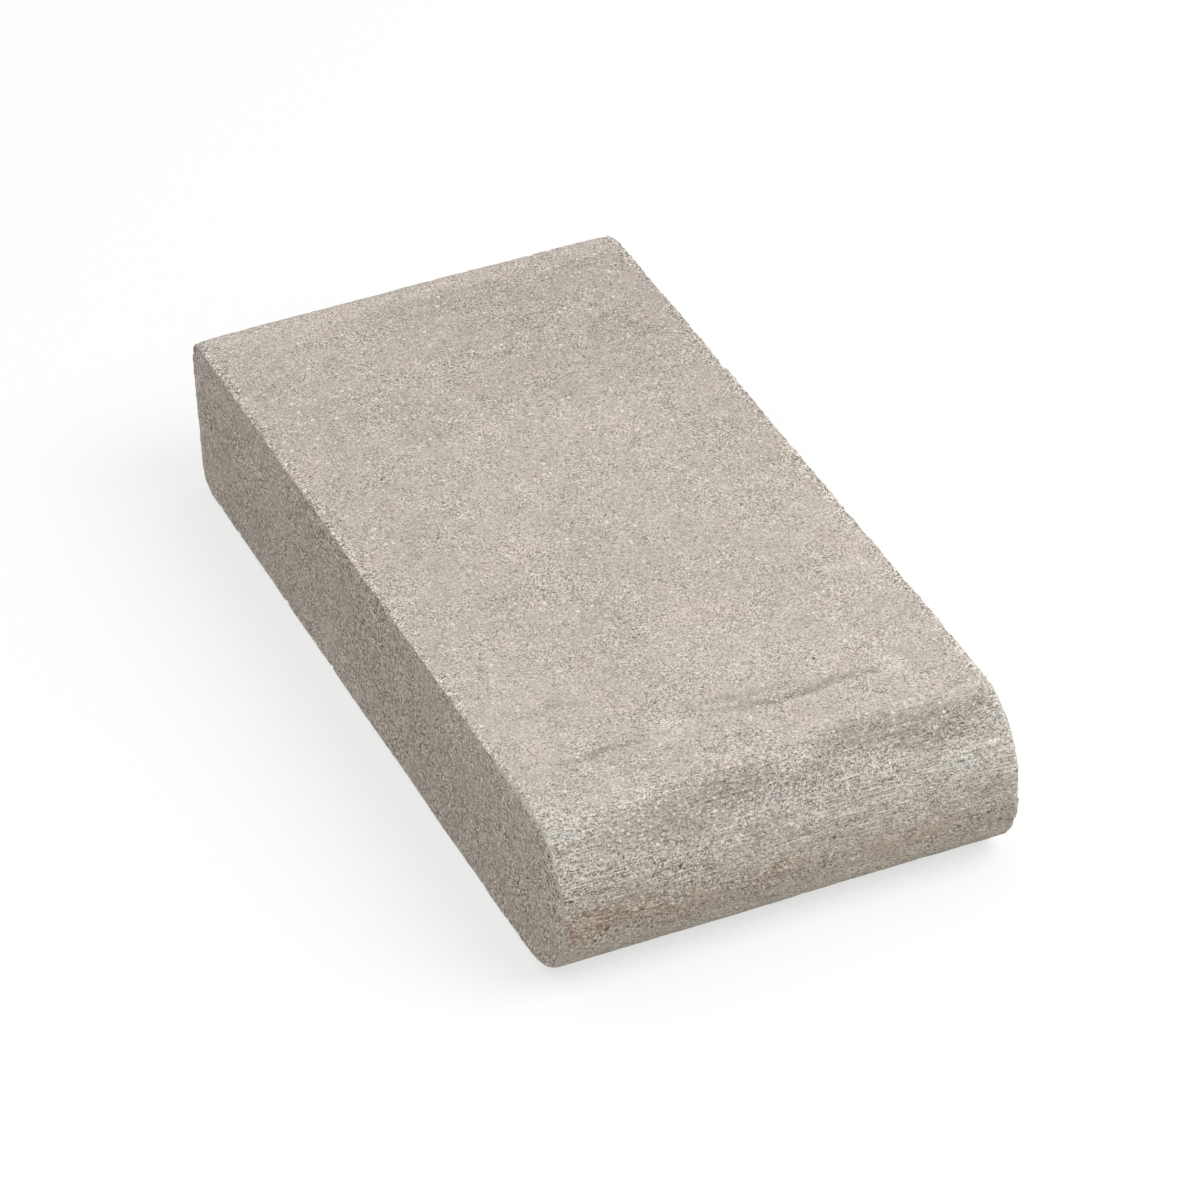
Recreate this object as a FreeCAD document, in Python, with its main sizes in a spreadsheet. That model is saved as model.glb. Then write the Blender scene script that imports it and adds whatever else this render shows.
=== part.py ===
"""Bullnose coping stone: one block of pressed concrete with a round front edge.

The stone lies on its bed. X runs along the width, Y along the length with the
round nose towards -Y, and Z is up. The origin is the middle of the bed, below
the centre of the block. All sizes are in millimetres.
"""

import FreeCAD, Part
import math
import os

import Sketcher

OUTPUT_FOLDER = "parts"

# Every size that can be set by itself: cell alias, value in mm, what it is.
DIMENSIONS = [
    ("stone_length", 304.0, "back face to the front of the nose"),
    ("stone_width", 146.0, "side face to side face, the way the edge course runs"),
    ("stone_height", 57.0, "bed to top"),
    ("nose_top_radius", 24.0, "round from the top into the front of the nose"),
    ("nose_front_flat", 4.0, "height of the flat between the two nose rounds"),
    ("back_top_radius", 4.0, "eased arris between the top and the back face"),
    ("back_bottom_radius", 1.5, "small arris between the back face and the bed"),
]

# Ends of a sketch edge, and the sketch's own origin, as constraints number them.
START = 1
END = 2
SKETCH_AXES = -1
SKETCH_ORIGIN = (SKETCH_AXES, START)


def make_sheet(doc):
    """Put the driving dimensions into a spreadsheet, one aliased cell each."""
    sheet = doc.addObject("Spreadsheet::Sheet", "Dimensions")
    for row, (alias, value, meaning) in enumerate(DIMENSIONS, start=1):
        sheet.set(f"A{row}", alias)
        sheet.set(f"B{row}", str(value))
        sheet.set(f"C{row}", meaning)
        sheet.setAlias(f"B{row}", alias)
    doc.recompute()
    return sheet


def origin_plane(body, role):
    """Return the origin plane of a body that has this role."""
    for feature in body.Origin.OriginFeatures:
        if feature.Role == role:
            return feature
    raise ValueError(f"{body.Name} has no {role}")


def line(start_y, start_z, end_y, end_z):
    """Straight edge of the profile."""
    start = FreeCAD.Vector(start_y, start_z, 0)
    end = FreeCAD.Vector(end_y, end_z, 0)
    return Part.LineSegment(start, end)


def quarter_round(centre_y, centre_z, radius, start_degrees):
    """Quarter circle of the profile that runs anticlockwise from an angle."""
    circle = Part.Circle()
    circle.Center = FreeCAD.Vector(centre_y, centre_z, 0)
    circle.Radius = radius
    start_angle = math.radians(start_degrees)
    return Part.ArcOfCircle(circle, start_angle, start_angle + math.pi / 2)


def profile_edges(sheet):
    """Return the side profile's edges by name, anticlockwise from the bed.

    The horizontal axis is the stone's Y and the vertical axis is Z. The lower
    nose round takes the height that the upper round and the flat leave.
    """
    front = -sheet.stone_length / 2
    back = sheet.stone_length / 2
    top = sheet.stone_height
    nose_top = sheet.nose_top_radius
    nose_bottom = top - nose_top - sheet.nose_front_flat
    back_top = sheet.back_top_radius
    back_bottom = sheet.back_bottom_radius
    return {
        "bed": line(front + nose_bottom, 0, back - back_bottom, 0),
        "back_bottom_round": quarter_round(back - back_bottom, back_bottom, back_bottom, 270),
        "back_face": line(back, back_bottom, back, top - back_top),
        "back_top_round": quarter_round(back - back_top, top - back_top, back_top, 0),
        "top": line(back - back_top, top, front + nose_top, top),
        "nose_top_round": quarter_round(front + nose_top, top - nose_top, nose_top, 90),
        "nose_flat": line(front, top - nose_top, front, nose_bottom),
        "nose_bottom_round": quarter_round(front + nose_bottom, nose_bottom, nose_bottom, 180),
    }


def bind(sketch, name, expression, *constraint):
    """Add a dimension to the sketch and let an expression drive it."""
    index = sketch.addConstraint(Sketcher.Constraint(*constraint))
    sketch.renameConstraint(index, name)
    sketch.setExpression(f"Constraints.{name}", expression)


def draw_profile(sketch, sheet):
    """Draw the side profile and hold every size of it to the sheet."""
    edges = profile_edges(sheet)
    sketch.addGeometry(list(edges.values()), False)
    number = {name: index for index, name in enumerate(edges)}

    for index in range(len(edges)):
        following = (index + 1) % len(edges)
        sketch.addConstraint(Sketcher.Constraint("Tangent", index, END, following, START))
    for name in ("bed", "top"):
        sketch.addConstraint(Sketcher.Constraint("Horizontal", number[name]))
    for name in ("back_face", "nose_flat"):
        sketch.addConstraint(Sketcher.Constraint("Vertical", number[name]))
    on_ground = Sketcher.Constraint("PointOnObject", number["bed"], START, SKETCH_AXES)
    sketch.addConstraint(on_ground)

    for name, alias in (
        ("nose_top_round", "nose_top_radius"),
        ("back_top_round", "back_top_radius"),
        ("back_bottom_round", "back_bottom_radius"),
    ):
        bind(sketch, alias, f"Dimensions.{alias}", "Radius", number[name], edges[name].Radius)

    nose_foot = (number["nose_flat"], END)
    nose_head = (number["nose_flat"], START)
    back_foot = (number["back_face"], START)
    top_end = (number["top"], START)
    half_length = sheet.stone_length / 2
    bind(sketch, "nose_front_flat", "Dimensions.nose_front_flat",
         "DistanceY", *nose_foot, *nose_head, sheet.nose_front_flat)
    bind(sketch, "nose_reach", "Dimensions.stone_length / 2",
         "DistanceX", *nose_head, *SKETCH_ORIGIN, half_length)
    bind(sketch, "back_reach", "Dimensions.stone_length / 2",
         "DistanceX", *SKETCH_ORIGIN, *back_foot, half_length)
    bind(sketch, "top_level", "Dimensions.stone_height",
         "DistanceY", *SKETCH_ORIGIN, *top_end, sheet.stone_height)


def make_coping_stone(doc, sheet):
    """Press the side profile out to the stone's width, half to each side."""
    body = doc.addObject("PartDesign::Body", "CopingStone")
    body.Label = "coping_stone"
    sketch = body.newObject("Sketcher::SketchObject", "SideProfile")
    sketch.AttachmentSupport = [(origin_plane(body, "YZ_Plane"), "")]
    sketch.MapMode = "FlatFace"
    doc.recompute()
    draw_profile(sketch, sheet)

    block = body.newObject("PartDesign::Pad", "Block")
    block.Profile = sketch
    block.SideType = "Symmetric"
    block.setExpression("Length", "Dimensions.stone_width")
    body.Placement = FreeCAD.Placement()
    return body


def check_document(doc, sub_parts):
    """Stop if any object failed or any sub-part is not one valid solid."""
    for item in doc.Objects:
        if "Invalid" in item.State or "Error" in item.State:
            raise RuntimeError(f"{item.Name} is in state {item.State}")
    for sub_part in sub_parts:
        shape = sub_part.Shape
        if shape.isNull() or not shape.isValid() or len(shape.Solids) != 1:
            raise RuntimeError(f"{sub_part.Label} is not one valid solid")


def main():
    """Build the document, check it and write one STEP file for each sub-part."""
    doc = FreeCAD.newDocument("CopingStone")
    sheet = make_sheet(doc)
    sub_parts = [make_coping_stone(doc, sheet)]
    doc.recompute()
    check_document(doc, sub_parts)

    os.makedirs(OUTPUT_FOLDER, exist_ok=True)
    for sub_part in sub_parts:
        sub_part.Shape.exportStep(os.path.join(OUTPUT_FOLDER, f"{sub_part.Label}.step"))
        box = sub_part.Shape.BoundBox
        print(f"{sub_part.Label}: {box.XLength:.2f} x {box.YLength:.2f} x {box.ZLength:.2f} mm, "
              f"{sub_part.Shape.Volume / 1e3:.1f} cm3")


main()
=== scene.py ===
"""Looks of the bullnose coping stone: worn, sandy pressed concrete on a white floor.

Metres, in the CAD frame: X across the width, Y along the length with the round
nose towards -Y, Z up from the bed. The stone's skin is one closed quad mesh. It
follows the CAD profile, is worn inwards and is clipped to the CAD box.
"""

import math
import random

import bpy
import numpy as np
from mathutils import Matrix, Vector, kdtree, noise


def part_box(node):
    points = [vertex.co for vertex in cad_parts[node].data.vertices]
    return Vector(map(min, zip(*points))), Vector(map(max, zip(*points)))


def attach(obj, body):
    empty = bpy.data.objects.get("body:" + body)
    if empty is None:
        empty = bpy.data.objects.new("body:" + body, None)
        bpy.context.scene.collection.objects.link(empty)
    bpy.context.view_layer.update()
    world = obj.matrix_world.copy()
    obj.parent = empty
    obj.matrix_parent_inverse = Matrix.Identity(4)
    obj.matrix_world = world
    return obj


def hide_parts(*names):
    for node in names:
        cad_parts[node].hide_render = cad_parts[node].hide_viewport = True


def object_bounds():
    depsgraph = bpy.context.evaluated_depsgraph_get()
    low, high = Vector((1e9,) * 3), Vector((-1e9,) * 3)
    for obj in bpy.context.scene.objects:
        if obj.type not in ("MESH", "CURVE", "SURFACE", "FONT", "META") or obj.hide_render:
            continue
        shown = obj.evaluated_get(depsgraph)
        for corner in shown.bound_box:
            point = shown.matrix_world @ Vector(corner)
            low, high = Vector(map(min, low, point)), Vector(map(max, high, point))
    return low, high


SEED = 11
PIT_TRIES = 1500
MM = 0.001

# Rounds of the CAD profile.
NOSE_TOP_RADIUS = 24 * MM
NOSE_BOTTOM_RADIUS = 29 * MM
BACK_TOP_RADIUS = 4 * MM
BACK_BOTTOM_RADIUS = 1.5 * MM

# The skin's grid: its usual step, and the finer steps next to each arris.
GRID_STEP = 1.32 * MM
ARRIS_STEPS = [0.3 * MM, 0.4 * MM, 0.5 * MM, 0.7 * MM, 1.0 * MM]

# Usual radius of the side arrises in mm, its limits in mm, and how far in they reach.
ARRIS_RADIUS = 0.6
ARRIS_RADIUS_LIMITS = (0.15, 3.2)
ARRIS_REACH = 3.3 * MM

# How far the back face is eased in, at its top and at its foot, and how deep that is felt.
BACK_TOP_EASE = 1.1 * MM
BACK_FOOT_EASE = 0.5 * MM
BACK_EASE_REACH = 14 * MM

# Camera, as angles in degrees about the stone's centre, its slide right and up in
# metres, and its lens on a 36 mm sensor.
CAMERA_AZIMUTH = -21.35
CAMERA_ELEVATION = 34.73
CAMERA_ROLL = -3.09
CAMERA_DISTANCE = 1.9577
CAMERA_SLIDE = (0.0034, -0.0021)
CAMERA_LENS = 190.9

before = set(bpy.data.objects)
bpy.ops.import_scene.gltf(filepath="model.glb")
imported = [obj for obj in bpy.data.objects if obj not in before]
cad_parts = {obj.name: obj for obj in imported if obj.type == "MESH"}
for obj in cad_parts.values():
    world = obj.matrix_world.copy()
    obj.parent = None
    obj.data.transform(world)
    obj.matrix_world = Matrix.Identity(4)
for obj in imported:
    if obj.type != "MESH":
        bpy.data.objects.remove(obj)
CAD_LOW, CAD_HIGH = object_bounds()
STONE_LOW, STONE_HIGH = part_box("coping_stone")
WIDTH, LENGTH, HEIGHT = STONE_HIGH - STONE_LOW


# ---------------------------------------------------------------- profile

def arc(centre_y, centre_z, radius, start, end):
    """Points of an arc in the YZ plane, a degree apart, angles in degrees."""
    angles = np.radians(np.linspace(start, end, int(abs(end - start)) + 1))
    return np.c_[centre_y + radius * np.cos(angles), centre_z + radius * np.sin(angles)]


def profile_sides():
    """The profile as four curves that meet at the middle of each round.

    Bed and top run from the back to the nose, back and nose run upwards.
    """
    front, back = STONE_LOW.y, STONE_HIGH.y
    low, high = STONE_LOW.z, STONE_HIGH.z
    nose_top = (front + NOSE_TOP_RADIUS, high - NOSE_TOP_RADIUS, NOSE_TOP_RADIUS)
    nose_bottom = (front + NOSE_BOTTOM_RADIUS, low + NOSE_BOTTOM_RADIUS, NOSE_BOTTOM_RADIUS)
    back_top = (back - BACK_TOP_RADIUS, high - BACK_TOP_RADIUS, BACK_TOP_RADIUS)
    back_bottom = (back - BACK_BOTTOM_RADIUS, low + BACK_BOTTOM_RADIUS, BACK_BOTTOM_RADIUS)
    return {
        "bed": np.vstack([arc(*back_bottom, -45, -90), arc(*nose_bottom, -90, -135)]),
        "top": np.vstack([arc(*back_top, 45, 90), arc(*nose_top, 90, 135)]),
        "back": np.vstack([arc(*back_bottom, -45, 0), arc(*back_top, 0, 45)]),
        "nose": np.vstack([arc(*nose_bottom, 225, 180), arc(*nose_top, 180, 135)]),
    }


def profile_depth(y, z):
    """Depth of points below the profile's outline, and the way in, (y, z) arrays."""
    centre_y = (STONE_LOW.y + STONE_HIGH.y) / 2
    centre_z = (STONE_LOW.z + STONE_HIGH.z) / 2
    from_y, from_z = y - centre_y, z - centre_z
    upper_radius = np.where(from_y > 0, BACK_TOP_RADIUS, NOSE_TOP_RADIUS)
    lower_radius = np.where(from_y > 0, BACK_BOTTOM_RADIUS, NOSE_BOTTOM_RADIUS)
    radius = np.where(from_z > 0, upper_radius, lower_radius)
    over_y = np.abs(from_y) - LENGTH / 2 + radius
    over_z = np.abs(from_z) - HEIGHT / 2 + radius
    in_corner = (over_y > 0) & (over_z > 0)
    reach = np.hypot(np.maximum(over_y, 0), np.maximum(over_z, 0))
    depth = radius - np.where(in_corner, reach, np.maximum(over_y, over_z))
    reach = np.maximum(reach, 1e-9)
    in_y = np.where(in_corner, over_y / reach, over_y > over_z)
    in_z = np.where(in_corner, over_z / reach, over_y <= over_z)
    return depth, -np.sign(from_y) * in_y, -np.sign(from_z) * in_z


def nose_run(y, z):
    """Distance along the outline past the start of the nose.

    It is negative on the flat top and the back face, and goes on rising along the bed.
    """
    start_y = STONE_LOW.y + NOSE_TOP_RADIUS
    upper_z = STONE_HIGH.z - NOSE_TOP_RADIUS
    lower_z = STONE_LOW.z + NOSE_BOTTOM_RADIUS
    upper = NOSE_TOP_RADIUS * np.arctan2(start_y - y, np.maximum(z - upper_z, 1e-6))
    quarter = NOSE_TOP_RADIUS * math.pi / 2
    flat = quarter + (upper_z - z)
    lower_start = quarter + (upper_z - lower_z)
    lower_y = STONE_LOW.y + NOSE_BOTTOM_RADIUS
    lower = lower_start + NOSE_BOTTOM_RADIUS * np.arctan2(lower_z - z, np.maximum(lower_y - y, 1e-6))
    run = np.where(z > upper_z, upper, np.where(z > lower_z, flat, lower))
    run = run + np.maximum(y - lower_y, 0)
    behind = (y > start_y) & (z > upper_z)
    on_back = y > STONE_HIGH.y - 3 * MM
    return np.where(behind | on_back, start_y - y, run)


# ------------------------------------------------------------------- skin

def grid_stops(length):
    """Stops from 0 to 1 along a side of this length, closer together at both ends."""
    ends = np.cumsum(ARRIS_STEPS)
    middle_count = round((length - 2 * ends[-1]) / GRID_STEP)
    middle = np.linspace(ends[-1], length - ends[-1], middle_count + 1)
    return np.r_[0, ends[:-1], middle, length - ends[:-1][::-1], length] / length


def along(curve, stops):
    """Points at these shares of a curve's length."""
    steps = np.hypot(*np.diff(curve, axis=0).T)
    run = np.r_[0, np.cumsum(steps)]
    return np.c_[np.interp(stops * run[-1], run, curve[:, 0]), np.interp(stops * run[-1], run, curve[:, 1])]


def section_grid(length_stops, height_stops):
    """Points of the profile's inside, blended between its four sides."""
    sides = profile_sides()
    bed, top = along(sides["bed"], length_stops), along(sides["top"], length_stops)
    back, nose = along(sides["back"], height_stops), along(sides["nose"], height_stops)
    u = length_stops[:, None, None]
    v = height_stops[None, :, None]
    between_levels = (1 - v) * bed[:, None] + v * top[:, None]
    between_ends = (1 - u) * back[None] + u * nose[None]
    lower = (1 - u) * bed[0] + u * bed[-1]
    upper = (1 - u) * top[0] + u * top[-1]
    return between_levels + between_ends - ((1 - v) * lower + v * upper)


def build_skin():
    """Closed quad mesh on the CAD surface: its points and its faces."""
    x_stops = STONE_LOW.x + grid_stops(WIDTH) * WIDTH
    length_stops, height_stops = grid_stops(LENGTH), grid_stops(HEIGHT)
    section = section_grid(length_stops, height_stops)
    counts = (len(x_stops), len(length_stops), len(height_stops))
    number = np.full(counts, -1)
    surface = np.zeros(counts, bool)
    for axis in range(3):
        for side in (0, -1):
            index = [slice(None)] * 3
            index[axis] = side
            surface[tuple(index)] = True
    number[surface] = np.arange(surface.sum())
    i, j, k = np.nonzero(surface)
    points = np.c_[x_stops[i], section[j, k]]

    faces = []
    for axis in range(3):
        for side in (0, -1):
            sheet = np.take(number, side, axis=axis)
            quads = np.stack([sheet[:-1, :-1], sheet[1:, :-1], sheet[1:, 1:], sheet[:-1, 1:]], -1)
            quads = quads.reshape(-1, 4)
            outward = (side == -1) == (axis != 1)
            # Y falls as the length stops rise, so every sheet turns the other way.
            faces.append(quads[:, ::-1] if outward else quads)
    return points, np.vstack(faces)


# ------------------------------------------------------------------- wear

def noise_at(points, size, seed, octaves=3):
    """Fractal noise, about -1 to 1, with lumps of this size in metres."""
    shift = Vector((seed * 7.13, seed * 3.71, seed * 5.29))
    scaled = points / size
    return np.array([noise.fractal(Vector(p) + shift, 1.0, 2.0, octaves) for p in scaled])


def arris_radius(points, way_in_y, way_in_z, depth):
    """How far each side arris is rounded near these points: small, with chips."""
    on_arris = points.copy()
    on_arris[:, 0] = np.sign(points[:, 0]) * WIDTH / 2
    on_arris[:, 1] -= way_in_y * depth
    on_arris[:, 2] -= way_in_z * depth
    crumbs = noise_at(on_arris, 1.7 * MM, 1)
    chips = noise_at(on_arris, 7 * MM, 2)
    blunt = noise_at(on_arris, 45 * MM, 3, octaves=2)
    behind_nose = points[:, 1] - STONE_LOW.y - NOSE_TOP_RADIUS
    towards_nose = np.clip(1 - behind_nose / (30 * MM), 0, 1)
    nose_blunting = np.where(points[:, 0] < 0, 1.6, 0.5) * towards_nose
    ragged = np.clip(points[:, 2] / (25 * MM), 0.15, 1)
    chipping = 1.1 * crumbs + 2.2 * np.maximum(chips - 0.25, 0)
    radius = ARRIS_RADIUS + 0.3 * blunt + ragged * chipping + nose_blunting
    return np.clip(radius, *ARRIS_RADIUS_LIMITS) * MM


def round_arrises(points):
    """Roll the arrises between the side faces and the profile over a ragged radius."""
    aside = WIDTH / 2 - np.abs(points[:, 0])
    depth, way_in_y, way_in_z = profile_depth(points[:, 1], points[:, 2])
    near = np.nonzero((aside < ARRIS_REACH) & (depth < ARRIS_REACH))[0]
    radius = arris_radius(points[near], way_in_y[near], way_in_z[near], depth[near])
    a, b = aside[near], np.maximum(depth[near], 0)
    on_skin = b <= a
    share = np.clip(np.where(on_skin, a, b) / radius, 0, 1)
    angle = math.pi / 4 * (1 + share)
    along_face = radius * (1 - np.cos(angle))
    into_face = radius * (1 - np.sin(angle))
    new_a = np.where(on_skin, along_face, into_face)
    new_b = np.where(on_skin, into_face, along_face)
    touched = share < 1
    new_a, new_b = np.where(touched, new_a, a), np.where(touched, new_b, b)
    points[near, 0] -= np.sign(points[near, 0]) * (new_a - a)
    points[near, 1] += way_in_y[near] * (new_b - b)
    points[near, 2] += way_in_z[near] * (new_b - b)


# Knocked corners: x, y and z as shares of the box, how wide and how deep, in mm.
KNOCKS = [
    ((1.0, 1.0, 1.0), 9, 1.3),
    ((0.0, 1.0, 1.0), 8, 1.3),
    ((0.0, 1.0, 0.0), 9, 1.2),
    ((1.0, 1.0, 0.0), 11, 1.8),
    ((1.0, 0.35, 0.0), 7, 1.2),
]


def knock_corners(points):
    """Take a shallow bite out of the stone at each named knock."""
    low, size = np.array(STONE_LOW), np.array((WIDTH, LENGTH, HEIGHT))
    middle = low + size / 2
    for share, wide, deep in KNOCKS:
        centre = low + size * np.array(share)
        away = points - centre
        near = np.clip(1 - np.linalg.norm(away, axis=1) / (wide * MM), 0, 1)
        inward = np.sign(middle - centre) * (np.abs(middle - centre) > 1e-6)
        inward = inward / np.linalg.norm(inward)
        points += inward * (deep * MM * near ** 1.5)[:, None]


def lean_back_face(points):
    """Ease the back face: a little in towards the top and towards the bed."""
    share_up = (points[:, 2] - STONE_LOW.z) / HEIGHT
    near_back = np.clip((points[:, 1] - STONE_HIGH.y) / BACK_EASE_REACH + 1, 0, 1)
    towards_top = np.clip((share_up - 0.45) / 0.55, 0, 1) ** 1.5
    towards_foot = np.clip(1 - share_up / 0.5, 0, 1) ** 2
    points[:, 1] -= (BACK_TOP_EASE * towards_top + BACK_FOOT_EASE * towards_foot) * near_back


def pit_depths(points, normals):
    """Depth at each point of small round pits, which lie three times as thick on the nose."""
    tree = kdtree.KDTree(len(points))
    for index, point in enumerate(points):
        tree.insert(point, index)
    tree.balance()
    dice = random.Random(SEED)
    depths = np.zeros(len(points))
    nose_line = STONE_LOW.y + NOSE_TOP_RADIUS
    for _ in range(PIT_TRIES):
        index = dice.randrange(len(points))
        on_nose = points[index, 1] < nose_line and abs(normals[index, 0]) < 0.5
        if dice.random() > (0.9 if on_nose else 0.3):
            continue
        radius = dice.uniform(0.7, 1.5) * MM
        deep = dice.uniform(0.25, 0.75) * MM
        for _, found, distance in tree.find_range(Vector(points[index]), radius * 1.4):
            depths[found] = max(depths[found], deep * (1 - (distance / (radius * 1.4)) ** 2))
    return depths


def wear_depths(points, normals):
    """How far wear takes each point in along its normal."""
    on_side = np.abs(normals[:, 0]) > 0.7
    swell = 0.22 * noise_at(points, 60 * MM, 4, octaves=2)
    lumps = 0.10 * noise_at(points, 9 * MM, 5)
    grain = np.where(on_side, 0.09, 0.11) * noise_at(points, 2.4 * MM, 6)
    depths = (swell + lumps + grain) * MM
    depths = np.maximum(depths - np.percentile(depths, 2), 0)
    crumbled = np.maximum(noise_at(points, 2.1 * MM, 7) - 0.05, 0) * arris_share(points)
    crumbled *= np.clip(points[:, 2] / HEIGHT - 0.4, 0, 0.6) / 0.6
    return depths + np.where(on_side, 0.5, 1.3) * MM * crumbled + pit_depths(points, normals)


def arris_share(points):
    """1 on the side arrises, fading to 0 a little way in on both faces."""
    aside = WIDTH / 2 - np.abs(points[:, 0])
    depth = profile_depth(points[:, 1], points[:, 2])[0]
    return np.clip(1 - np.hypot(aside, depth) / (4 * MM), 0, 1)


def vertex_normals(mesh):
    """The mesh's vertex normals as an array."""
    normals = np.zeros(len(mesh.vertices) * 3, np.float32)
    mesh.vertex_normals.foreach_get("vector", normals)
    return normals.reshape(-1, 3).astype(float)


def make_stone():
    """The worn stone as one object that stands for the CAD node."""
    points, faces = build_skin()
    lean_back_face(points)
    round_arrises(points)
    knock_corners(points)
    mesh = bpy.data.meshes.new("coping_stone_skin")
    mesh.from_pydata(points.tolist(), [], faces.tolist())
    mesh.update()
    normals = vertex_normals(mesh)
    points -= normals * wear_depths(points, normals)[:, None]
    points = np.clip(points, np.array(STONE_LOW), np.array(STONE_HIGH))
    mesh.vertices.foreach_set("co", points.astype(np.float32).ravel())
    mesh.polygons.foreach_set("use_smooth", np.ones(len(mesh.polygons), bool))
    run = mesh.attributes.new("nose_run", "FLOAT", "POINT")
    run.data.foreach_set("value", nose_run(points[:, 1], points[:, 2]).astype(np.float32))
    arris = mesh.attributes.new("arris", "FLOAT", "POINT")
    arris.data.foreach_set("value", arris_share(points).astype(np.float32))
    mesh.update()
    stone = bpy.data.objects.new("stone_block", mesh)
    bpy.context.scene.collection.objects.link(stone)
    return stone


# --------------------------------------------------------------- material

class Shader:
    """Short ways to add and join shader nodes of one material."""

    def __init__(self, material):
        material.use_nodes = True
        self.tree = material.node_tree
        self.tree.nodes.clear()

    def node(self, kind, inputs=None, **settings):
        """Add a node, set its properties and set or link its inputs."""
        made = self.tree.nodes.new(kind)
        for name, value in settings.items():
            setattr(made, name, value)
        for name, value in (inputs or {}).items():
            self.feed(made.inputs[name], value)
        return made

    def feed(self, socket, value):
        """Link another node's output to a socket, or set the socket's value."""
        if isinstance(value, bpy.types.NodeSocket):
            self.tree.links.new(value, socket)
        else:
            socket.default_value = value

    def math(self, operation, first, second=0.0, third=0.0):
        """Output of a Math node."""
        inputs = {0: first, 1: second, 2: third}
        return self.node("ShaderNodeMath", inputs, operation=operation).outputs[0]

    def remap(self, value, low, high, to_low=0.0, to_high=1.0, smooth=True):
        """Map a value's range to another, clamped at both ends."""
        kind = "SMOOTHSTEP" if smooth else "LINEAR"
        inputs = {"Value": value, "From Min": low, "From Max": high, "To Min": to_low, "To Max": to_high}
        return self.node("ShaderNodeMapRange", inputs, interpolation_type=kind).outputs["Result"]

    def noise(self, vector, size, detail=3.0, roughness=0.55):
        """Noise value with lumps of this size in metres."""
        inputs = {"Vector": vector, "Scale": 1 / size, "Detail": detail, "Roughness": roughness}
        return self.node("ShaderNodeTexNoise", inputs).outputs["Fac"]

    def cells(self, vector, size):
        """Distance to the middle of the cell, for cells of this size in metres, and its random values."""
        cells = self.node("ShaderNodeTexVoronoi", {"Vector": vector, "Scale": 1 / size}).outputs
        picks = self.node("ShaderNodeSeparateColor", {"Color": cells["Color"]}).outputs
        return cells["Distance"], picks

    def stretch(self, vector, scale, shift=(0.0, 0.0, 0.0)):
        """A vector scaled and shifted axis by axis."""
        inputs = {"Vector": vector, "Scale": scale, "Location": shift}
        return self.node("ShaderNodeMapping", inputs).outputs["Vector"]

    def mix(self, share, first, second, blend="MIX"):
        """Mix of two colours."""
        made = self.node("ShaderNodeMix", data_type="RGBA", blend_type=blend)
        for index, value in ((0, share), (6, first), (7, second)):
            self.feed(made.inputs[index], value)
        return made.outputs[2]

    def total(self, *values):
        """Sum of several values."""
        result = values[0]
        for value in values[1:]:
            result = self.math("ADD", result, value)
        return result

    def times(self, *values):
        """Product of several values."""
        result = values[0]
        for value in values[1:]:
            result = self.math("MULTIPLY", result, value)
        return result

    def centred(self, value, amount):
        """A noise value moved to swing this much about nought."""
        return self.math("MULTIPLY_ADD", value, 2 * amount, -amount)

    def grey(self, value):
        """Grey colour of this value."""
        return self.node("ShaderNodeCombineColor", {0: value, 1: value, 2: value}).outputs["Color"]

    def bend(self, vector, noise_colour, amount):
        """A vector pushed about by a noise colour, by half this much each way."""
        kind = "ShaderNodeVectorMath"
        middle = (0.5, 0.5, 0.5)
        centred = self.node(kind, {0: noise_colour, 1: middle}, operation="SUBTRACT").outputs[0]
        pushed = self.node(kind, {0: centred, "Scale": amount}, operation="SCALE").outputs[0]
        return self.node(kind, {0: vector, 1: pushed}).outputs[0]


def srgb(red, green, blue):
    """Linear colour, with alpha, of an 8-bit screen colour."""
    def linear(level):
        share = level / 255
        return share / 12.92 if share <= 0.04045 else ((share + 0.055) / 1.055) ** 2.4
    return (linear(red), linear(green), linear(blue), 1.0)


# Finish of the concrete, and painted light and shade on it, as screen colours.
CONCRETE = srgb(195, 186, 176)
PINK_CAST = srgb(198, 185, 176)
GREEN_CAST = srgb(188, 181, 169)
BAND_GREY = srgb(187, 180, 170)
DARK_BAND = srgb(142, 135, 125)
# Painted light: the underside of the nose gets a paler colour than the top, to lift the shade it has from
# facing down.
UNDER_NOSE_PAINTED_LIGHT = srgb(209, 203, 192)
BLOOM = srgb(205, 207, 203)
CHALK = srgb(228, 226, 219)
RUST = srgb(160, 130, 106)
WORN_ARRIS = srgb(210, 205, 194)
# Painted shade: a dark strip on the lowest part of the nose's round, where it turns under towards the bed.
NOSE_FOOT_PAINTED_SHADE = srgb(160, 160, 154)
# Painted shade: the colour that darkens the low spots of the sand grain as shade in the pores.
PORE_PAINTED_SHADE = srgb(104, 95, 85)
HOLE = srgb(96, 78, 64)
PALE_GRAIN = srgb(240, 233, 222)
DARK_GRAIN = srgb(112, 103, 94)
OCHRE_GRAIN = srgb(186, 150, 112)

# Sizes of the concrete's grain and of its larger unevenness.
DUST_SIZE = 0.42 * MM
COMBED_SIZE = 0.48 * MM
STREAK_SIZE = 0.5 * MM
SAND_SIZE = 0.74 * MM
GRAIN_BEND = 0.9 * MM
GRAIN_SIZE = 1.0 * MM
LUMP_SIZE = 2.3 * MM
FLECK_SIZE = 2.4 * MM
HOLE_SPACING = 3.6 * MM
MOTTLE_SIZE = 7 * MM
PATCH_SIZE = 15 * MM
CAST_SIZE = 19 * MM
CLOUD_SIZE = 75 * MM

# The bands' edges wander up to this much either way, in waves of this size.
WANDER = 6 * MM
WANDER_SIZE = 26 * MM

CAST_STRENGTH = 0.45

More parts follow.
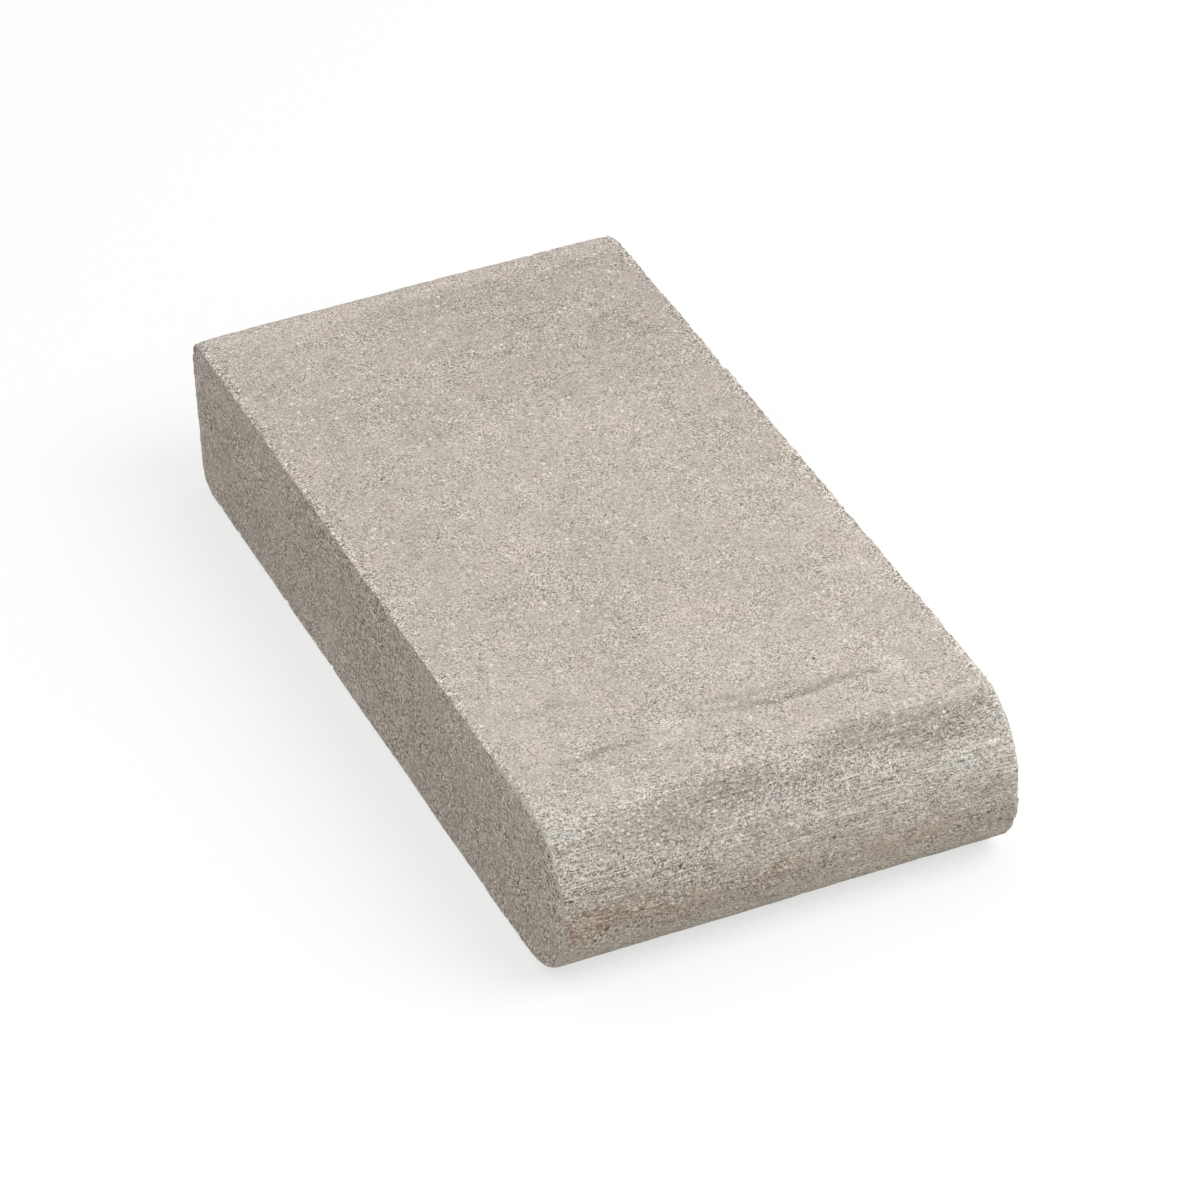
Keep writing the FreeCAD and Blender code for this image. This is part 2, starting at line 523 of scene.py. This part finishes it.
# Bands along the nose, laid over each other: the runs past the start of the nose,
# in mm, where each begins, is full, starts to fade and is gone, its colour and strength.
NOSE_BANDS = [
    (4, 14, 90, 110, BAND_GREY, 0.9),
    # Painted light: a pale colour over the underside of the nose, lifting its shade.
    (46, 62, 90, 110, UNDER_NOSE_PAINTED_LIGHT, 1.0),
    (36, 44, 52, 62, RUST, 0.13),
    # Painted shade: a dark strip low on the nose, where it turns under to the bed.
    (64, 74, 76, 88, NOSE_FOOT_PAINTED_SHADE, 0.5),
]

# Marks on the nose and on the top just before it: across as a share of the width,
# run past the start of the nose in mm, half width and half height in mm, strength.
BLOOMS = [
    (0.05, 13, 9, 5, 0.9),
    (0.22, 29, 14, 5, 0.6),
    (0.47, 21, 12, 3, 0.6),
    (0.57, 27, 12, 5, 0.7),
    (0.76, 24, 9, 4, 0.6),
    (0.91, 26, 9, 6, 1.0),
    (0.98, 18, 5, 7, 0.8),
    (0.24, 5, 10, 4, 0.5),
]
CHALK_MARKS = [
    (0.36, -15, 6, 6, 1.0),
    (0.84, -17, 4, 5, 0.9),
]
RUSTS = [
    (0.04, 44, 12, 6, 1.0),
    (0.15, 43, 9, 5, 0.9),
    (0.26, 47, 12, 6, 0.5),
    (0.47, 43, 8, 4, 0.6),
    (0.75, 50, 14, 5, 0.4),
]
DARK_PATCHES = [
    (0.43, 13, 13, 6, 0.85),
    (0.56, 18, 14, 5, 0.6),
    (0.70, 11, 14, 6, 0.8),
    (0.84, 14, 16, 8, 1.0),
    (0.95, 13, 8, 7, 0.8),
    (0.15, 18, 16, 4, 0.4),
    (0.30, 17, 14, 7, 0.7),
    (0.62, 26, 20, 4, 0.4),
]
TOP_LINES = [
    (0.21, -13, 12, 1.8, 1.0),
    (0.66, -16, 24, 2.0, 1.0),
    (0.52, -22, 14, 1.6, 0.6),
]


def mark(shader, across, run, share, centre_run, half_wide, half_high, strength):
    """Soft oval mask, as strong as said in its middle and gone at 1.5 times its half sizes."""
    centre_x = STONE_LOW.x + share * WIDTH
    aside = shader.math("DIVIDE", shader.math("SUBTRACT", across, centre_x), half_wide * MM)
    beyond = shader.math("DIVIDE", shader.math("SUBTRACT", run, centre_run * MM), half_high * MM)
    square = shader.math("MULTIPLY_ADD", aside, aside, shader.math("MULTIPLY", beyond, beyond))
    return shader.remap(square, 2.3, 0.0, 0.0, strength)


def marks(shader, across, run, places, breakup):
    """All marks of one kind, broken up by noise."""
    covered = 0.0
    for place in places:
        covered = shader.math("MAXIMUM", covered, mark(shader, across, run, *place))
    return shader.math("MULTIPLY", covered, breakup)


def base_tint(shader, at):
    """Colour without its grain: casts, the nose's bands, which hold painted light under the nose and
    painted shade at its foot, marks and worn arrises.
    """
    place, run, across, on_profile = at["place"], at["ragged_run"], at["across"], at["on_profile"]
    casts = shader.noise(place, CAST_SIZE, 3.0, 0.55)
    colour = shader.mix(shader.remap(casts, 0.50, 0.70, 0.0, CAST_STRENGTH), CONCRETE, PINK_CAST)
    colour = shader.mix(shader.remap(casts, 0.50, 0.30, 0.0, CAST_STRENGTH), colour, GREEN_CAST)

    # Two of these bands are painted: light over the nose's underside and shade at its foot.
    for begins, full, fades, gone, tint, strength in NOSE_BANDS:
        rising = shader.remap(run, begins * MM, full * MM)
        falling = shader.remap(run, gone * MM, fades * MM)
        share = shader.times(shader.times(rising, falling), on_profile, strength)
        colour = shader.mix(share, colour, tint)

    breakup = shader.remap(shader.noise(place, 3.2 * MM, 4.0, 0.7), 0.34, 0.66)
    soft_breakup = shader.remap(shader.noise(place, 7 * MM, 4.0, 0.7), 0.24, 0.58)
    for places, tint, edges, strength in (
        (DARK_PATCHES, DARK_BAND, soft_breakup, 0.78),
        (TOP_LINES, DARK_BAND, soft_breakup, 0.65),
        (BLOOMS, BLOOM, breakup, 0.40),
        (CHALK_MARKS, CHALK, breakup, 0.60),
        (RUSTS, RUST, breakup, 0.68),
    ):
        covered = marks(shader, across, run, places, edges)
        colour = shader.mix(shader.times(covered, on_profile, strength), colour, tint)

    towards_nose = shader.remap(run, -0.026, -0.010)
    worn = shader.times(shader.remap(at["arris"], 0.25, 0.9), towards_nose, soft_breakup, 0.8)
    return shader.mix(worn, colour, WORN_ARRIS)


def before_bed(shader, run):
    """1 on the top and the nose, fading to 0 where the outline has turned on to the bed."""
    return shader.remap(run, 0.110, 0.090)


def surface_places(shader):
    """Values that say where a point of the surface lies, by name."""
    place = shader.node("ShaderNodeTexCoord").outputs["Object"]
    across, along, level = shader.node("ShaderNodeSeparateXYZ", {"Vector": place}).outputs
    facing = shader.node("ShaderNodeNewGeometry").outputs["Normal"]
    sideways = shader.node("ShaderNodeSeparateXYZ", {"Vector": facing}).outputs["X"]
    on_side = shader.remap(shader.math("ABSOLUTE", sideways), 0.45, 0.85)
    on_profile = shader.math("SUBTRACT", 1.0, on_side)
    run = shader.node("ShaderNodeAttribute", attribute_name="nose_run").outputs["Fac"]
    arris = shader.node("ShaderNodeAttribute", attribute_name="arris").outputs["Fac"]
    wander = shader.centred(shader.noise(place, WANDER_SIZE, 3.0), WANDER)
    return {
        "place": place,
        "across": across,
        "along": along,
        "level": level,
        "run": run,
        "ragged_run": shader.total(run, wander),
        "arris": arris,
        "on_side": on_side,
        "on_profile": on_profile,
        "on_nose": shader.times(shader.remap(run, 0.002, 0.012), before_bed(shader, run), on_profile),
        "crumbly": shader.times(arris, on_profile, shader.remap(run, 0.004, -0.006)),
    }


def nose_streaks(shader, at):
    """Fine pale and dark lines along the width of the nose: a value about nought."""
    lines = shader.noise(shader.stretch(at["place"], (0.04, 1.0, 1.0)), STREAK_SIZE, 1.0, 0.6)
    patches = shader.remap(shader.noise(at["place"], 20 * MM, 2.0), 0.42, 0.60, 0.35, 1.0)
    run = at["ragged_run"]
    zone = shader.times(shader.remap(run, -0.004, 0.006), shader.remap(run, 0.060, 0.040))
    pale_lines = shader.remap(lines, 0.54, 0.72, 0.0, 0.8)
    dark_lines = shader.remap(lines, 0.46, 0.28, 0.0, 0.25)
    return shader.times(shader.math("SUBTRACT", pale_lines, dark_lines), patches, zone, at["on_profile"])


def grain_noises(shader, at):
    """Noises of the grain by name, and the bent place that single grains are laid out in."""
    place = at["place"]
    # The grain of the side faces is drawn out along the stone's length, to match the photo's look.
    drawn_out = shader.stretch(place, (1.0, 0.65, 1.0))
    choice = {0: at["on_side"], 4: place, 5: drawn_out}
    grit = shader.node("ShaderNodeMix", choice, data_type="VECTOR").outputs[1]
    shift = shader.node("ShaderNodeTexNoise", {"Vector": grit, "Scale": 1 / GRAIN_BEND, "Detail": 1.0})
    bent = shader.bend(grit, shift.outputs["Color"], GRAIN_BEND)
    combed = shader.noise(shader.stretch(place, (0.32, 1.0, 1.0)), COMBED_SIZE, 2.0, 0.6)
    return {
        "bent": bent,
        "dust": shader.noise(grit, DUST_SIZE, 1.0, 0.6),
        "sand": shader.noise(bent, SAND_SIZE, 3.0, 0.7),
        "lumps": shader.noise(place, LUMP_SIZE, 3.0, 0.6),
        "brushed": shader.times(shader.remap(combed, 0.34, 0.66, -0.24, 0.24), at["on_nose"]),
        "streaks": nose_streaks(shader, at),
    }


def grain_strength(shader, at):
    """How strong the grain is: patchy, and stronger on the sides and the crumbly arrises."""
    patchy = shader.remap(shader.noise(at["place"], PATCH_SIZE, 3.0, 0.6), 0.36, 0.64, 0.72, 1.28)
    nose_share = shader.times(at["on_nose"], 0.05)
    side_share = shader.times(at["on_side"], 0.60)
    crumbly_share = shader.times(at["crumbly"], 1.3)
    return shader.times(patchy, shader.total(1.0, nose_share, side_share, crumbly_share))


def shaded_tint(shader, at, grain, strength):
    """The base tint made lighter and darker by clouds, mottle, grain and streaks."""
    along = at["along"]
    clouds = shader.noise(at["place"], CLOUD_SIZE, 3.0, 0.5)
    mottle = shader.noise(at["place"], MOTTLE_SIZE, 4.0, 0.65)
    fine = shader.total(
        shader.remap(grain["dust"], 0.36, 0.64, -0.31, 0.31),
        shader.remap(grain["sand"], 0.37, 0.63, -0.22, 0.22),
        shader.centred(grain["lumps"], 0.17),
    )
    # The top is greyer towards the back, less so on the left, up to a paler edge.
    far_grey = shader.times(
        shader.remap(along, 0.055, 0.090), shader.remap(along, 0.143, 0.136),
        shader.remap(at["across"], -0.05, 0.01, 0.3, 1.0), at["on_profile"],
    )
    far_edge = shader.times(shader.remap(along, 0.136, 0.144), at["on_profile"])
    side_foot = shader.times(shader.remap(at["level"], 0.022, 0.002), at["on_side"])
    light = shader.total(
        1.02, shader.centred(clouds, 0.16), shader.centred(mottle, 0.22), grain["brushed"],
        shader.times(far_grey, -0.13), shader.times(far_edge, 0.02), shader.times(side_foot, 0.08),
        shader.times(fine, strength), shader.times(grain["streaks"], 0.8),
    )
    return shader.mix(1.0, base_tint(shader, at), shader.grey(light), "MULTIPLY")


def add_grains(shader, at, grain, strength, colour):
    """Lay painted shade in the pores and single grains, bent out of round, over a colour. Also give the
    grains' shape.
    """
    spared = shader.math("MAXIMUM", at["on_nose"], at["on_side"])
    pore_shade_share = shader.times(strength, shader.math("MULTIPLY_ADD", spared, -0.55, 1.0))
    # Painted shade in the pores: the low spots of the sand noise are darkened, less on the nose and the
    # sides.
    pore_shade = shader.times(shader.remap(grain["sand"], 0.38, 0.31), pore_shade_share, 0.60)
    colour = shader.mix(pore_shade, colour, PORE_PAINTED_SHADE)

    from_grain, pick = shader.cells(grain["bent"], GRAIN_SIZE)
    from_fleck, fleck_pick = shader.cells(grain["bent"], FLECK_SIZE)
    core = shader.remap(from_grain, 0.60, 0.25)
    fleck_core = shader.remap(from_fleck, 0.34, 0.16)
    on_side, on_nose, crumbly = at["on_side"], at["on_nose"], at["crumbly"]
    pale_limit = shader.total(0.10, shader.times(on_side, 0.10), shader.times(on_nose, 0.06),
                              shader.times(crumbly, 0.3))
    fleck_limit = shader.total(0.06, shader.times(on_side, 0.22), shader.times(crumbly, 0.45))
    for chance, channel, shape, tint, cover in (
        (0.12, pick[0], core, DARK_GRAIN, 0.55),
        (pale_limit, pick[1], core, PALE_GRAIN, 0.70),
        (0.03, pick[2], core, OCHRE_GRAIN, 0.35),
        (fleck_limit, fleck_pick[0], fleck_core, PALE_GRAIN, 0.90),
    ):
        chosen = shader.math("LESS_THAN", channel, chance)
        colour = shader.mix(shader.times(chosen, shape, cover), colour, tint)
    return colour, core


def blowholes(shader, at, bent):
    """1 inside small blowholes, which lie thickest in clusters low on the nose, else 0."""
    shifted = shader.stretch(bent, (1.0, 1.0, 1.0), (0.3, 0.7, 0.1))
    from_middle, pick = shader.cells(shifted, HOLE_SPACING)
    run = at["run"]
    low_nose = shader.times(shader.remap(run, 0.030, 0.042), shader.remap(run, 0.070, 0.056),
                            at["on_profile"])
    clustered = shader.remap(shader.noise(at["place"], 13 * MM, 2.0), 0.42, 0.58)
    low_share = shader.times(low_nose, clustered)
    # A cell has a hole when its pick is above the least one, and the widest at a pick of 1.
    least_pick = shader.remap(low_share, 0.0, 1.0, 0.90, 0.40, smooth=False)
    widest = shader.remap(low_share, 0.0, 1.0, 0.20, 0.27, smooth=False)
    hole_size = shader.remap(pick[0], least_pick, 1.0, 0.0, widest, smooth=False)
    return shader.remap(shader.math("SUBTRACT", hole_size, from_middle), 0.0, 0.07)


def concrete_material():
    """Sandy pressed concrete: tints and marks, with painted light and shade on the nose's underside, grain,
    painted shade in the pores, and blowholes.
    """
    material = bpy.data.materials.new("pressed_concrete")
    shader = Shader(material)
    at = surface_places(shader)
    grain = grain_noises(shader, at)
    strength = grain_strength(shader, at)
    colour = shaded_tint(shader, at, grain, strength)
    colour, core = add_grains(shader, at, grain, strength, colour)
    hole = blowholes(shader, at, grain["bent"])
    colour = shader.mix(shader.times(hole, 0.75), colour, HOLE)

    height = shader.total(
        shader.times(grain["dust"], 0.35), shader.times(grain["sand"], 0.8),
        shader.times(grain["lumps"], 0.6), shader.times(core, 0.08),
        shader.times(grain["streaks"], 0.5), shader.times(grain["brushed"], 0.4),
        shader.times(hole, -0.8),
    )
    bump = shader.node("ShaderNodeBump", {"Height": height, "Strength": 0.85, "Distance": 0.6 * MM})
    surface = shader.node("ShaderNodeBsdfPrincipled", {
        "Base Color": colour,
        "Roughness": shader.remap(grain["lumps"], 0.3, 0.7, 0.84, 0.97),
        "Normal": bump.outputs["Normal"],
        "Specular IOR Level": 0.2,
    })
    shader.node("ShaderNodeOutputMaterial", {"Surface": surface.outputs["BSDF"]})
    return material


# ------------------------------------------------------------------ stage

# Floor: its size, its colour as it lights the stone and as it is seen, and how much of
# the seen floor glows, which lightens the shadow.
FLOOR_SIZE = 30.0
FLOOR_BOUNCE = (0.46, 0.44, 0.41, 1.0)
FLOOR_SEEN = (1.0, 1.0, 1.0, 1.0)
SHADOW_LIFT = 0.65

# Strength of the even surround, and the lamp, placed from the stone's centre.
SKY_LIGHT = 0.70
LAMP_POWER = 26.0
LAMP_SIZE = 1.6
LAMP_PLACE = (0.9, -1.1, 1.7)


def seen_directly(shader):
    """1 for what the camera sees straight, in gloss or through glass, else 0."""
    path = shader.node("ShaderNodeLightPath").outputs
    direct = shader.math("MAXIMUM", path["Is Camera Ray"], path["Is Glossy Ray"])
    return shader.math("MAXIMUM", direct, path["Is Transmission Ray"])


def make_floor():
    """Wide pale floor under the bed. It shows white and keeps a lightened shadow."""
    material = bpy.data.materials.new("white_floor")
    shader = Shader(material)
    seen = seen_directly(shader)
    colour = shader.mix(seen, FLOOR_BOUNCE, FLOOR_SEEN)
    shaded = shader.node("ShaderNodeBsdfDiffuse", {"Color": colour})
    glow = shader.node("ShaderNodeEmission", {"Color": FLOOR_SEEN, "Strength": 1.0})
    lift = shader.times(seen, SHADOW_LIFT)
    surface = shader.node("ShaderNodeMixShader", {0: lift, 1: shaded.outputs[0], 2: glow.outputs[0]})
    shader.node("ShaderNodeOutputMaterial", {"Surface": surface.outputs[0]})
    half = FLOOR_SIZE / 2
    corners = [(-half, -half, 0), (half, -half, 0), (half, half, 0), (-half, half, 0)]
    mesh = bpy.data.meshes.new("floor")
    mesh.from_pydata(corners, [], [(0, 1, 2, 3)])
    mesh.materials.append(material)
    floor = bpy.data.objects.new("floor", mesh)
    bpy.context.scene.collection.objects.link(floor)
    floor.location.z = CAD_LOW.z


def light_scene():
    """Even white surround and one large soft lamp, high to the right before the nose."""
    world = bpy.data.worlds.new("studio")
    bpy.context.scene.world = world
    shader = Shader(world)
    seen = seen_directly(shader)
    strength = shader.math("MULTIPLY_ADD", seen, 1 - SKY_LIGHT, SKY_LIGHT)
    surround = shader.node("ShaderNodeBackground", {"Color": (1.0, 1.0, 1.0, 1.0), "Strength": strength})
    shader.node("ShaderNodeOutputWorld", {"Surface": surround.outputs["Background"]})

    lamp_data = bpy.data.lights.new("soft_lamp", "AREA")
    lamp_data.shape = "DISK"
    lamp_data.size = LAMP_SIZE
    lamp_data.energy = LAMP_POWER
    lamp = bpy.data.objects.new("soft_lamp", lamp_data)
    bpy.context.scene.collection.objects.link(lamp)
    centre = (CAD_LOW + CAD_HIGH) / 2
    lamp.location = centre + Vector(LAMP_PLACE)
    lamp.rotation_euler = (-Vector(LAMP_PLACE)).to_track_quat("-Z", "Y").to_euler()


def place_camera():
    """Long lens from above the left of the nose, rolled a little."""
    azimuth, elevation = math.radians(CAMERA_AZIMUTH), math.radians(CAMERA_ELEVATION)
    roll = math.radians(CAMERA_ROLL)
    back = Vector((math.sin(azimuth) * math.cos(elevation),
                   -math.cos(azimuth) * math.cos(elevation),
                   math.sin(elevation)))
    level_right = Vector((math.cos(azimuth), math.sin(azimuth), 0))
    level_up = back.cross(level_right)
    right = level_right * math.cos(roll) + level_up * math.sin(roll)
    up = level_up * math.cos(roll) - level_right * math.sin(roll)
    centre = (CAD_LOW + CAD_HIGH) / 2
    eye = centre + back * CAMERA_DISTANCE + right * CAMERA_SLIDE[0] + up * CAMERA_SLIDE[1]
    camera_data = bpy.data.cameras.new("camera")
    camera_data.lens = CAMERA_LENS
    camera_data.sensor_width = 36
    camera = bpy.data.objects.new("camera", camera_data)
    bpy.context.scene.collection.objects.link(camera)
    turn = Matrix((right, up, back)).transposed().to_4x4()
    camera.matrix_world = Matrix.Translation(eye) @ turn
    bpy.context.scene.camera = camera


# ---------------------------------------------------------------- assembly

stone = make_stone()
stone.data.materials.append(concrete_material())
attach(stone, "root")
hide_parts("coping_stone")

make_floor()
light_scene()
place_camera()
bpy.context.scene.view_settings.view_transform = "Standard"
